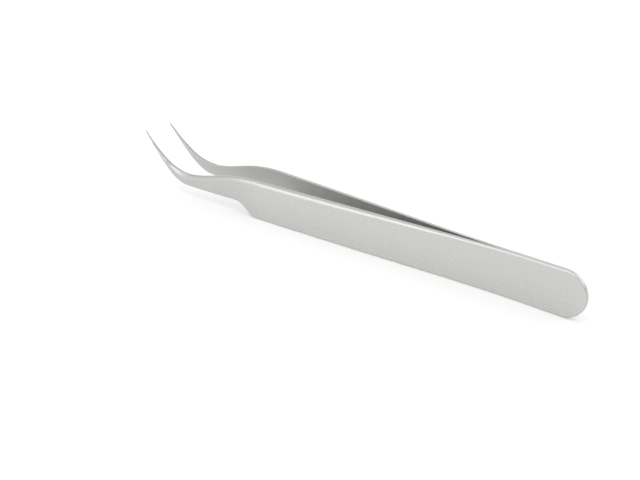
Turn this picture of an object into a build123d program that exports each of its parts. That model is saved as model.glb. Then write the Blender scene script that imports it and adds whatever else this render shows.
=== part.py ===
"""Angled tweezers: two sprung steel arms, welded flat to flat over the tail.

They stand on the arms' lower edges. The tips point to -X, the welded tail to +X, and
the front arm is the one at -Y. A station is a distance from the tail end, along the
arm. Sizes are in millimetres, and a slope is a rise for each millimetre of station.
"""

import os

from build123d import *

# Lengths, with the spring blade taking up what the others leave
length = 115.0
weld_length = 14.0
neck_length = 21.1
tip_length = 15.0

# Tail, where the arms are welded
tail_height = 9.48
tail_thickness = 0.6

# Spring blade, bowed out to its thickest at the belly, with a shoulder at its end
shoulder_height = 8.6
belly_setback = 8.9
belly_thickness = 1.2
belly_half_gap = 3.04
bow_length = 28.0
bow_half_gap = 1.28
opening_slope = 0.004
spring_taper = 0.012

# Neck, cut in from below by a ramp and from above by a hollow
ramp_length = 5.9
ramp_slope = 0.41
neck_rise = 2.76
neck_fall = 0.54
neck_height = 2.66
neck_thickness = 1.04
neck_half_gap = 3.9
hollow_setback = 7.4
hollow_height = 6.35

# Fine tip, bent up out of the neck
bend_rise = 5.07
bend_height = 1.4
bend_thickness = 0.92
bend_half_gap = 3.66
tip_rise = 12.05
tip_slope = 0.9
tip_height = 0.28
tip_taper = 0.07
tip_thickness = 0.22
point_taper = -0.13
tip_half_gap = 3.67
closing_slope = -0.005
flat_depth = 0.32

# Edges: eased outside, deepest down the upper edge from the belly on, and broken inside
tail_round = 0.33
belly_ease = 0.95
lower_round = 0.3
inner_break = 0.08

# The most of an arm's thickness and of its height that an edge may take
thick_share = 0.55
break_share = 0.15
high_share = 0.4

neck_station = length - tip_length
shoulder_station = neck_station - neck_length
ramp_station = shoulder_station + ramp_length
belly_station = shoulder_station - belly_setback
bend_station = neck_station + tip_length / 2
neck_low = neck_rise - neck_fall
neck_top = neck_low + neck_height
tail_radius = tail_height / 2
plate_round = min(tail_round, thick_share * tail_thickness)
end_x = length / 2
weld_x = end_x - weld_length


def rising(slope):
    """Return the direction of a rail that rises by this slope."""
    return (1.0, slope)


with BuildLine(Plane.XY) as gap_rail:
    # From the plane between the arms out to the front arm's inner face
    Spline(
        (weld_length, 0.0),
        (weld_length + bow_length, bow_half_gap),
        (belly_station, belly_half_gap),
        (neck_station, neck_half_gap),
        (bend_station, bend_half_gap),
        (length, tip_half_gap),
        tangents=(rising(opening_slope), rising(closing_slope)),
    )

with BuildLine(Plane.XY) as thickness_rail:
    # Thin over the weld to spring, thick at the belly, fine at the tip
    Spline(
        (weld_length, tail_thickness),
        (belly_station, belly_thickness),
        (neck_station, neck_thickness),
        (bend_station, bend_thickness),
        (length, tip_thickness),
        tangents=(rising(spring_taper), rising(point_taper)),
    )

with BuildLine(Plane.XY) as upper_rail:
    # Straight along the blade, down into the hollow, then up to the tip
    blade_top = Line((weld_length, tail_height), (shoulder_station, shoulder_height))
    Spline(
        blade_top @ 1,
        (neck_station - hollow_setback, hollow_height),
        (neck_station, neck_top),
        (bend_station, bend_rise + bend_height),
        (length, tip_rise),
        tangents=(blade_top % 1, rising(tip_slope)),
    )

with BuildLine(Plane.XY) as lower_rail:
    # Up the shoulder's ramp, straight under the neck, then up to the tip
    neck_slope = -neck_fall / (neck_station - ramp_station)
    Spline(
        (shoulder_station, 0.0),
        (ramp_station, neck_rise),
        tangents=(rising(ramp_slope), rising(neck_slope)),
    )
    neck_line = Line((ramp_station, neck_rise), (neck_station, neck_low))
    Spline(
        neck_line @ 1,
        (bend_station, bend_rise),
        (length, tip_rise - tip_height),
        tangents=(neck_line % 1, rising(tip_slope + tip_taper)),
    )


def height_at(rail, station):
    """Return a rail's height at a station, by halving the curve that spans it."""
    curves = rail.edges().sort_by(Axis.X)
    spanning = [curve for curve in curves if (curve @ 0).X <= station <= (curve @ 1).X]
    curve = spanning[0] if spanning else curves[-1]
    low, high = 0.0, 1.0
    for _ in range(40):
        middle = (low + high) / 2
        low, high = (middle, high) if (curve @ middle).X < station else (low, middle)
    return (curve @ low).Y


def belly_share(station):
    """Return how far a station lies from the weld to the belly, eased from 0 to 1."""
    share = min((station - weld_length) / (belly_station - weld_length), 1.0)
    return share * share * (3 - 2 * share)


def arm_section(station, ground):
    """Draw the front arm's cross-section at a station, its upper edge eased or ground flat."""
    inner = -height_at(gap_rail, station)
    thickness = height_at(thickness_rail, station)
    outer = inner - thickness
    top = height_at(upper_rail, station)
    low = 0.0 if station < shoulder_station else height_at(lower_rail, station)
    share = belly_share(station)
    broken = min(inner_break, break_share * thickness)
    under = plate_round + (lower_round - plate_round) * share
    under = min(under, thick_share * thickness, high_share * (top - low))
    upper = plate_round + (belly_ease - plate_round) * share
    depth = min(upper, thick_share * thickness)
    drop = min(upper, high_share * (top - low))
    if ground:
        # The flat runs out towards the point, down to a broken edge
        fade = min((top - low) / neck_height, 1.0)
        depth, drop = max(flat_depth * fade, broken), max(drop * fade * fade, broken)
    with BuildSketch(Plane.YZ.offset(end_x - station)) as section:
        with BuildLine():
            Polyline(
                (outer + under, low),
                (inner - broken, low),
                (inner, low + broken),
                (inner, top - broken),
                (inner - broken, top),
                (outer + depth, top),
            )
            if ground:
                Line((outer + depth, top), (outer, top - drop))
            else:
                EllipticalCenterArc((outer + depth, top - drop), depth, drop, 90, arc_size=90)
            Line((outer, top - drop), (outer, low + under))
            RadiusArc((outer, low + under), (outer + under, low), -under)
        make_face()
    return section.sketch


def loft_between(start, end, count, ground=False):
    """Loft the front arm between two stations, through evenly spaced cross-sections."""
    stations = [start + (end - start) * step / count for step in range(count + 1)]
    loft([arm_section(station, ground) for station in stations])


def tail_rim(arm):
    """Return the edges round the tail plate, leaving out the end that meets the blade."""
    return arm.edges().filter_by(lambda edge: edge.bounding_box().max.X > weld_x + inner_break)


with BuildPart() as front_arm:
    # Tail plate, flat over the weld and round at its end
    with BuildSketch(Plane.XZ):
        with Locations((end_x - tail_radius, tail_radius)):
            Circle(tail_radius)
        with Locations((weld_x, 0)):
            Rectangle(weld_length - tail_radius, tail_height, align=(Align.MIN, Align.MIN))
    extrude(amount=tail_thickness)
    fillet(tail_rim(front_arm).group_by(Axis.Y)[0], plate_round)
    chamfer(tail_rim(front_arm).group_by(Axis.Y)[-1], min(inner_break, break_share * tail_thickness))

    # Spring blade, shoulder ramp, neck, and the tip with its flat ground along the edge
    loft_between(weld_length, shoulder_station, 6)
    loft_between(shoulder_station, ramp_station, 5)
    loft_between(ramp_station, neck_station, 3)
    loft_between(neck_station, length, 6, ground=True)

with BuildPart() as rear_arm:
    mirror(front_arm.part, about=Plane.XZ)

front_arm.part.label = "front_arm"
rear_arm.part.label = "rear_arm"

os.makedirs("parts", exist_ok=True)
export_step(front_arm.part, "parts/front_arm.step")
export_step(rear_arm.part, "parts/rear_arm.step")
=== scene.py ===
"""Looks for the angled tweezers: satin steel arms, a pale floor, soft studio light and the camera.

Lengths are metres, in the model's own frame: tips to -X, welded tail to +X, front arm
at -Y, and the lower edges on the floor at Z = 0. Angles are degrees where a name says so.
"""

from __future__ import annotations

import logging
import math
from dataclasses import dataclass, field
from enum import Enum
from typing import Any, Mapping, Sequence, Union

import bpy
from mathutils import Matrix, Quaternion, Vector


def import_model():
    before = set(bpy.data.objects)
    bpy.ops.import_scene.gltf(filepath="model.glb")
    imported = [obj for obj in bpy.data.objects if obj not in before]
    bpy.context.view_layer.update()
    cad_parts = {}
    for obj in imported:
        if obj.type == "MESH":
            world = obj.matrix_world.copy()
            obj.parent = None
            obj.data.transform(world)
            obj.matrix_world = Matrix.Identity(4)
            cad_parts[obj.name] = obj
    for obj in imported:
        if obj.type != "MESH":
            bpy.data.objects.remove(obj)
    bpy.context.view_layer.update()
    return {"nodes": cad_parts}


log = logging.getLogger("tweezers")

IMAGE_WIDTH_PX = 640
SENSOR_WIDTH_MM = 36.0
NEAR_CLIP = 0.01
PATTERN_MIDDLE = 0.5

Number = Union[int, float]
Colour = tuple[float, float, float]
Cells = tuple[float, float, float]
Span = tuple[float, float]


class Arm(Enum):
    """The two arms, by the name of the node each one is."""

    FRONT = "front_arm"
    REAR = "rear_arm"


class Signal:
    """One value in a shader, which Python's arithmetic turns into Math nodes."""

    def __init__(self, shader: Shader, socket: bpy.types.NodeSocket) -> None:
        """Wrap a socket.

        Args:
            shader: The shader that the socket belongs to.
            socket: The output socket that carries the value.
        """
        self.shader = shader
        self.socket = socket

    def _math(self, operation: str, first: Operand, second: Operand) -> Signal:
        """Add one Math node.

        Args:
            operation: Blender's name for the operation.
            first: The node's first value.
            second: The node's second value.

        Returns:
            The node's result.
        """
        return self.shader.node(
            "ShaderNodeMath", {"operation": operation}, {0: first, 1: second}
        ).out()

    def __add__(self, other: Operand) -> Signal:
        """Return the sum."""
        return self._math("ADD", self, other)

    def __radd__(self, other: Operand) -> Signal:
        """Return the sum, with a plain number on the left."""
        return self._math("ADD", other, self)

    def __sub__(self, other: Operand) -> Signal:
        """Return the difference."""
        return self._math("SUBTRACT", self, other)

    def __rsub__(self, other: Operand) -> Signal:
        """Return the difference, with a plain number on the left."""
        return self._math("SUBTRACT", other, self)

    def __mul__(self, other: Operand) -> Signal:
        """Return the product."""
        return self._math("MULTIPLY", self, other)

    def __rmul__(self, other: Operand) -> Signal:
        """Return the product, with a plain number on the left."""
        return self._math("MULTIPLY", other, self)

    def __abs__(self) -> Signal:
        """Return the value without its sign."""
        return self._math("ABSOLUTE", self, 0.0)

    def at_least(self, other: Operand) -> Signal:
        """Return the larger of two values."""
        return self._math("MAXIMUM", self, other)

    def ramp(self, low: float, high: float) -> Signal:
        """Return 0 below one value and 1 above another, eased between them.

        Args:
            low: The value at which the result leaves 0.
            high: The value at which the result reaches 1.

        Returns:
            The eased share.
        """
        return self.shader.node(
            "ShaderNodeMapRange",
            {"interpolation_type": "SMOOTHSTEP"},
            {"Value": self, "From Min": low, "From Max": high, "To Min": 0.0, "To Max": 1.0},
        ).out()


Operand = Union[Signal, Number]


@dataclass
class Placed:
    """A node that stands in a shader."""

    shader: Shader
    raw: bpy.types.Node

    def out(self, name: Union[str, int] = 0) -> Signal:
        """Return one of the node's outputs.

        Args:
            name: The output's name or place.

        Returns:
            The output, ready for arithmetic.
        """
        return Signal(self.shader, self.raw.outputs[name])


class Shader:
    """A node tree, built node by node."""

    def __init__(self, owner: Union[bpy.types.Material, bpy.types.World]) -> None:
        """Empty the owner's node tree.

        Args:
            owner: The material or world to build.
        """
        owner.use_nodes = True
        self.tree = owner.node_tree
        self.tree.nodes.clear()

    def node(
        self,
        kind: str,
        settings: Mapping[str, Any] | None = None,
        values: Mapping[Union[str, int], Any] | None = None,
    ) -> Placed:
        """Add a node.

        Args:
            kind: Blender's name for the node's type.
            settings: What is set on the node itself, before its sockets.
            values: A value or a link for each socket that has one.

        Returns:
            The placed node.
        """
        raw = self.tree.nodes.new(kind)
        for name, setting in (settings or {}).items():
            setattr(raw, name, setting)
        for name, value in (values or {}).items():
            if isinstance(value, Signal):
                self.tree.links.new(value.socket, raw.inputs[name])
            else:
                raw.inputs[name].default_value = value
        return Placed(self, raw)

    def mixed(self, share: Operand, first: Any, second: Any, blend: str = "MIX") -> Signal:
        """Mix two colours.

        Args:
            share: How much of the second colour there is.
            first: The colour at a share of 0.
            second: The colour at a share of 1.
            blend: Blender's name for the way they mix.

        Returns:
            The mixed colour.
        """
        settings = {"data_type": "RGBA", "blend_type": blend}
        return self.node("ShaderNodeMix", settings, {0: share, 6: first, 7: second}).out(2)

    def scaled(self, colour: Any, share: Operand) -> Signal:
        """Make a colour darker or lighter.

        Args:
            colour: The colour, as a value or a link.
            share: How much of it is kept.

        Returns:
            The scaled colour.
        """
        shades = self.node("ShaderNodeCombineXYZ", None, {0: share, 1: share, 2: share}).out()
        return self.mixed(1.0, colour, shades, "MULTIPLY")

    def parts(self, vector: Signal) -> tuple[Signal, Signal, Signal]:
        """Take a vector apart.

        Args:
            vector: The vector.

        Returns:
            Its X, Y and Z.
        """
        split = self.node("ShaderNodeSeparateXYZ", None, {0: vector})
        return split.out("X"), split.out("Y"), split.out("Z")

    def stretched(self, place: Signal, per_metre: Cells) -> Signal:
        """Scale a place by its own number of cells a metre along each axis.

        Args:
            place: The place on the surface.
            per_metre: Cells a metre along X, Y and Z.

        Returns:
            The scaled place.
        """
        return self.node(
            "ShaderNodeVectorMath", {"operation": "MULTIPLY"}, {0: place, 1: per_metre}
        ).out()

    def noise(self, place: Signal, per_metre: Cells, detail: float = 2.0) -> Signal:
        """Add a soft random pattern.

        Args:
            place: The place on the surface.
            per_metre: Cells a metre along X, Y and Z.
            detail: How many finer layers the pattern has.

        Returns:
            The pattern, from about 0 to about 1 with 0.5 as its middle.
        """
        cells = self.stretched(place, per_metre)
        return self.node(
            "ShaderNodeTexNoise", None, {"Vector": cells, "Scale": 1.0, "Detail": detail}
        ).out("Fac")


@dataclass(frozen=True)
class SatinSteel:
    """Stainless steel, drawn to a fine satin along the arms and ground finer at the tips.

    A shade is painted shade, a share of the steel's colour that darkens the top and bottom
    edges, the faces that lean down and the neck where the light leaves them dimmer. A spread
    is how far a pattern moves a value. Cells are a pattern's, for each metre along X, Y and Z.
    A lean says how far a face has to point inwards, sideways or down to begin to count, and
    to count in full. A reach is where the neck or the tip begins, and where it is whole, in
    metres from the middle towards the tips.
    """

    name: str = "satin_steel"
    colour: Colour = (0.575, 0.575, 0.560)
    # The next three shades are painted shade: the top and bottom edges, the faces that lean down
    # and the neck are darkened in colour where the light leaves them dimmer.
    painted_edge_shade: float = 0.86
    painted_under_shade: float = 0.84
    painted_neck_shade: float = 0.91
    roughness: float = 0.27
    inner_roughness: float = 0.45
    edge_roughness: float = 0.24
    tip_roughness: float = 0.20
    tone_spread: float = 0.030
    roughness_spread: float = 0.08
    cloud_spread: float = 0.020
    cloud_roughness_spread: float = 0.03
    cloud_cells: Cells = (55.0, 90.0, 160.0)
    ground_cells: Cells = (9000.0, 2500.0, 900.0)
    layers: float = 3.0
    lines_per_metre: float = 7000.0
    line_stretch: float = 80.0
    line_depth: float = 0.0000010
    fine_share: float = 0.6
    broad_width: float = 4.0
    broad_stretch: float = 300.0
    inner_lean: Span = (0.60, 0.95)
    side_lean: Span = (0.45, 0.85)
    under_lean: Span = (0.15, 0.80)
    neck_reach: Span = (0.0175, 0.0300)
    tip_reach: Span = (0.0415, 0.0440)

    def material(self) -> bpy.types.Material:
        """Build the material.

        Returns:
            The finished material.
        """
        material = bpy.data.materials.new(self.name)
        shader = Shader(material)
        place = shader.node("ShaderNodeTexCoord").out("Object")
        along, across, _ = shader.parts(place)
        _, facing_side, facing_up = shader.parts(shader.node("ShaderNodeNewGeometry").out("Normal"))

        arm_side = shader.node("ShaderNodeMath", {"operation": "SIGN"}, {0: across}).out()
        inner = (facing_side * arm_side * -1).ramp(*self.inner_lean)
        edge = 1 - abs(facing_side).ramp(*self.side_lean)
        # Faces that lean down; this mask only darkens them, as painted shade.
        under = (facing_up * -1).ramp(*self.under_lean)
        toward_tips = along * -1
        neck = toward_tips.ramp(*self.neck_reach)
        tip = toward_tips.ramp(*self.tip_reach)

        lines = self._lines(shader, place)
        ground = shader.noise(place, self.ground_cells, self.layers)
        grain = lines * (1 - tip) + ground * tip
        fine = grain - PATTERN_MIDDLE
        cloud = shader.noise(place, self.cloud_cells, self.layers) - PATTERN_MIDDLE

        # The tone is partly the steel's own, from the grain and the random cloud, and partly
        # painted shade on the edges, the underside and the neck.
        tone_and_painted_shade = 1 + fine * self.tone_spread + cloud * self.cloud_spread
        # Painted shade: the top and bottom edges, and the faces that lean down, are darkened in
        # colour.
        tone_and_painted_shade = tone_and_painted_shade * (1 - edge * (1 - self.painted_edge_shade)) * (1 - under * (1 - self.painted_under_shade))
        # Painted shade: the neck is darkened in colour where the light leaves it dimmer.
        tone_and_painted_shade = tone_and_painted_shade * (1 - neck * (1 - self.painted_neck_shade))
        colour = shader.scaled((*self.colour, 1.0), tone_and_painted_shade)

        level = self.roughness + edge * (self.edge_roughness - self.roughness)
        level = level + inner * (self.inner_roughness - self.roughness)
        level = level + tip * (1 - inner) * (self.tip_roughness - self.roughness)
        rough = level + fine * self.roughness_spread + cloud * self.cloud_roughness_spread

        relief = shader.node("ShaderNodeBump", None, {
            "Strength": 1.0,
            "Distance": self.line_depth,
            "Height": grain * (1 - edge),
        }).out()
        surface = shader.node("ShaderNodeBsdfPrincipled", None, {
            "Base Color": colour,
            "Metallic": 1.0,
            "Roughness": rough,
            "Normal": relief,
        }).out()
        shader.node("ShaderNodeOutputMaterial", None, {"Surface": surface})
        return material

    def _lines(self, shader: Shader, place: Signal) -> Signal:
        """Draw the satin's fine lines, which run along the arms.

        Args:
            shader: The shader to add to.
            place: The place on the surface.

        Returns:
            The lines, from about 0 to about 1.
        """
        across = self.lines_per_metre
        fine = shader.noise(place, (across / self.line_stretch, across, across))
        wider = across / self.broad_width
        broad = shader.noise(place, (across / self.broad_stretch, wider, wider))
        return fine * self.fine_share + broad * (1 - self.fine_share)


@dataclass(frozen=True)
class PaleFloor:
    """A plain pale floor, which the camera and the steel see as white but for the shadow."""

    name: str = "pale_floor"
    colour: Colour = (0.80, 0.80, 0.80)
    roughness: float = 0.9
    roughness_spread: float = 0.02
    mottle_cells: Cells = (30.0, 30.0, 30.0)
    lift: float = 0.24

    def material(self) -> bpy.types.Material:
        """Build the material.

        Returns:
            The finished material.
        """
        material = bpy.data.materials.new(self.name)
        shader = Shader(material)
        place = shader.node("ShaderNodeTexCoord").out("Object")
        mottle = shader.noise(place, self.mottle_cells) - PATTERN_MIDDLE
        lifted = (self.lift, self.lift, self.lift, 1.0)
        surface = shader.node("ShaderNodeBsdfPrincipled", None, {
            "Base Color": (*self.colour, 1.0),
            "Roughness": self.roughness + mottle * self.roughness_spread,
            "Emission Color": shader.mixed(seen_directly(shader), (0.0, 0.0, 0.0, 1.0), lifted),
            "Emission Strength": 1.0,
        }).out()
        shader.node("ShaderNodeOutputMaterial", None, {"Surface": surface})
        return material


def seen_directly(shader: Shader) -> Signal:
    """Tell rays that show a background, by eye or in metal and glass, from rays that light.

    Args:
        shader: The shader to add to.

    Returns:
        1 for camera, glossy and transmission rays, otherwise 0.
    """
    path = shader.node("ShaderNodeLightPath")
    seen = path.out("Is Camera Ray").at_least(path.out("Is Glossy Ray"))
    return seen.at_least(path.out("Is Transmission Ray"))


@dataclass
class Tweezers:
    """The two arms, as the frame brings them, and the finish that dresses them."""

    finish: SatinSteel = field(default_factory=SatinSteel)

    def build(self, nodes: Mapping[str, bpy.types.Object]) -> list[bpy.types.Object]:
        """Dress both arms.

        Args:
            nodes: The frame's objects by node name.

        Returns:
            The arms' objects.
        """
        steel = self.finish.material()
        arms = [nodes[arm.value] for arm in Arm]
        for arm in arms:
            self.dress(arm, steel)
        return arms

    def dress(self, arm: bpy.types.Object, steel: bpy.types.Material) -> None:
        """Give one arm its finish.

        Args:
            arm: The arm's object.
            steel: The material it takes.
        """
        for slot in arm.material_slots:
            slot.material = steel


@dataclass(frozen=True)
class Softbox:
    """A soft rectangular lamp that faces the tweezers, where a radiance of 1 looks white."""

    name: str
    azimuth_deg: float
    elevation_deg: float
    distance: float
    size: tuple[float, float]
    radiance: float

    def build(self, target: Vector) -> bpy.types.Object:
        """Place the lamp.

        Args:
            target: The point it faces.

        Returns:
            The lamp's object.
        """
        lamp = bpy.data.lights.new(self.name, "AREA")
        lamp.shape = "RECTANGLE"
        lamp.size, lamp.size_y = self.size
        lamp.energy = self.radiance * math.pi * self.size[0] * self.size[1]
        holder = bpy.data.objects.new(self.name, lamp)
        bpy.context.scene.collection.objects.link(holder)
        away = outward(self.azimuth_deg, self.elevation_deg)
        holder.location = target + away * self.distance
        holder.rotation_euler = away.to_track_quat("Z", "Y").to_euler()
        holder.visible_camera = False
        return holder


def outward(azimuth_deg: float, elevation_deg: float) -> Vector:
    """Return the direction from the tweezers out to a viewer or a lamp.

    Args:
        azimuth_deg: Degrees round from the front, towards +X.
        elevation_deg: Degrees up from the floor.

    Returns:
        A direction of length 1.
    """
    azimuth, elevation = math.radians(azimuth_deg), math.radians(elevation_deg)
    flat = math.cos(elevation)
    return Vector((math.sin(azimuth) * flat, -math.cos(azimuth) * flat, math.sin(elevation)))


@dataclass
class Studio:
    """The floor, the light and the camera."""

    floor_size: float = 6.0
    floor_finish: PaleFloor = field(default_factory=PaleFloor)
    ambient: float = 0.85
    softboxes: Sequence[Softbox] = (
        Softbox("side_softbox", -31.0, 15.0, 0.80, (0.46, 0.40), 0.65),
        Softbox("near_softbox", -22.0, 18.0, 0.80, (0.26, 0.24), 0.35),
        Softbox("upper_softbox", -42.0, 40.0, 0.80, (0.50, 0.34), 0.25),
        Softbox("tail_softbox", 145.0, 32.0, 0.80, (0.60, 0.50), 0.90),
        Softbox("top_softbox", -20.0, 76.0, 0.90, (0.60, 0.60), 1.2),
    )
    camera_azimuth_deg: float = 41.14
    camera_elevation_deg: float = 24.22
    camera_roll_deg: float = 0.2
    camera_distance: float = 0.2261
    camera_aim: Vector = field(default_factory=lambda: Vector((-0.00197, -0.00451, 0.00034)))
    focal_px: float = 1075.0

    def build(self) -> None:
        """Build the floor, the light and the camera."""
        self._floor()
        self._world()
        middle = Vector((0.0, 0.0, 0.0))
        for softbox in self.softboxes:
            softbox.build(middle)
            log.info("lamp %s", softbox.name)
        self._camera()

    def _floor(self) -> None:
        """Lay the floor under the lower edges."""
        half = self.floor_size / 2
        corners = [(-half, -half, 0.0), (half, -half, 0.0), (half, half, 0.0), (-half, half, 0.0)]
        mesh = bpy.data.meshes.new("floor")
        mesh.from_pydata(corners, [], [(0, 1, 2, 3)])
        mesh.materials.append(self.floor_finish.material())
        floor = bpy.data.objects.new("floor", mesh)
        bpy.context.scene.collection.objects.link(floor)
        log.info("floor %.1f m across", self.floor_size)

    def _world(self) -> None:
        """Light the scene evenly, and show white behind it."""
        world = bpy.data.worlds.new("studio")
        bpy.context.scene.world = world
        shader = Shader(world)
        seen = seen_directly(shader)
        strength = self.ambient + seen * (1.0 - self.ambient)
        sky = shader.node(
            "ShaderNodeBackground", None, {"Color": (1.0, 1.0, 1.0, 1.0), "Strength": strength}
        ).out()
        shader.node("ShaderNodeOutputWorld", None, {"Surface": sky})

    def _camera(self) -> None:
        """Stand the camera where the photograph was taken from."""
        lens = bpy.data.cameras.new("camera")
        lens.sensor_width = SENSOR_WIDTH_MM
        lens.lens = self.focal_px * SENSOR_WIDTH_MM / IMAGE_WIDTH_PX
        lens.clip_start = NEAR_CLIP
        camera = bpy.data.objects.new("camera", lens)
        bpy.context.scene.collection.objects.link(camera)
        away = outward(self.camera_azimuth_deg, self.camera_elevation_deg)
        camera.location = self.camera_aim + away * self.camera_distance
        roll = Quaternion((0.0, 0.0, 1.0), math.radians(self.camera_roll_deg))
        camera.rotation_euler = (away.to_track_quat("Z", "Y") @ roll).to_euler()
        bpy.context.scene.camera = camera
        log.info("camera lens %.1f mm", lens.lens)


def main() -> None:
    """Load the frame, dress the tweezers, and set up the studio."""
    logging.basicConfig(level=logging.INFO, format="%(name)s: %(message)s")
    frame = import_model()
    arms = Tweezers().build(frame["nodes"])
    for arm in arms:
        log.info("dressed %s", arm.name)
    Studio().build()
    bpy.context.scene.view_settings.view_transform = "Standard"


if __name__ == "__main__":
    main()
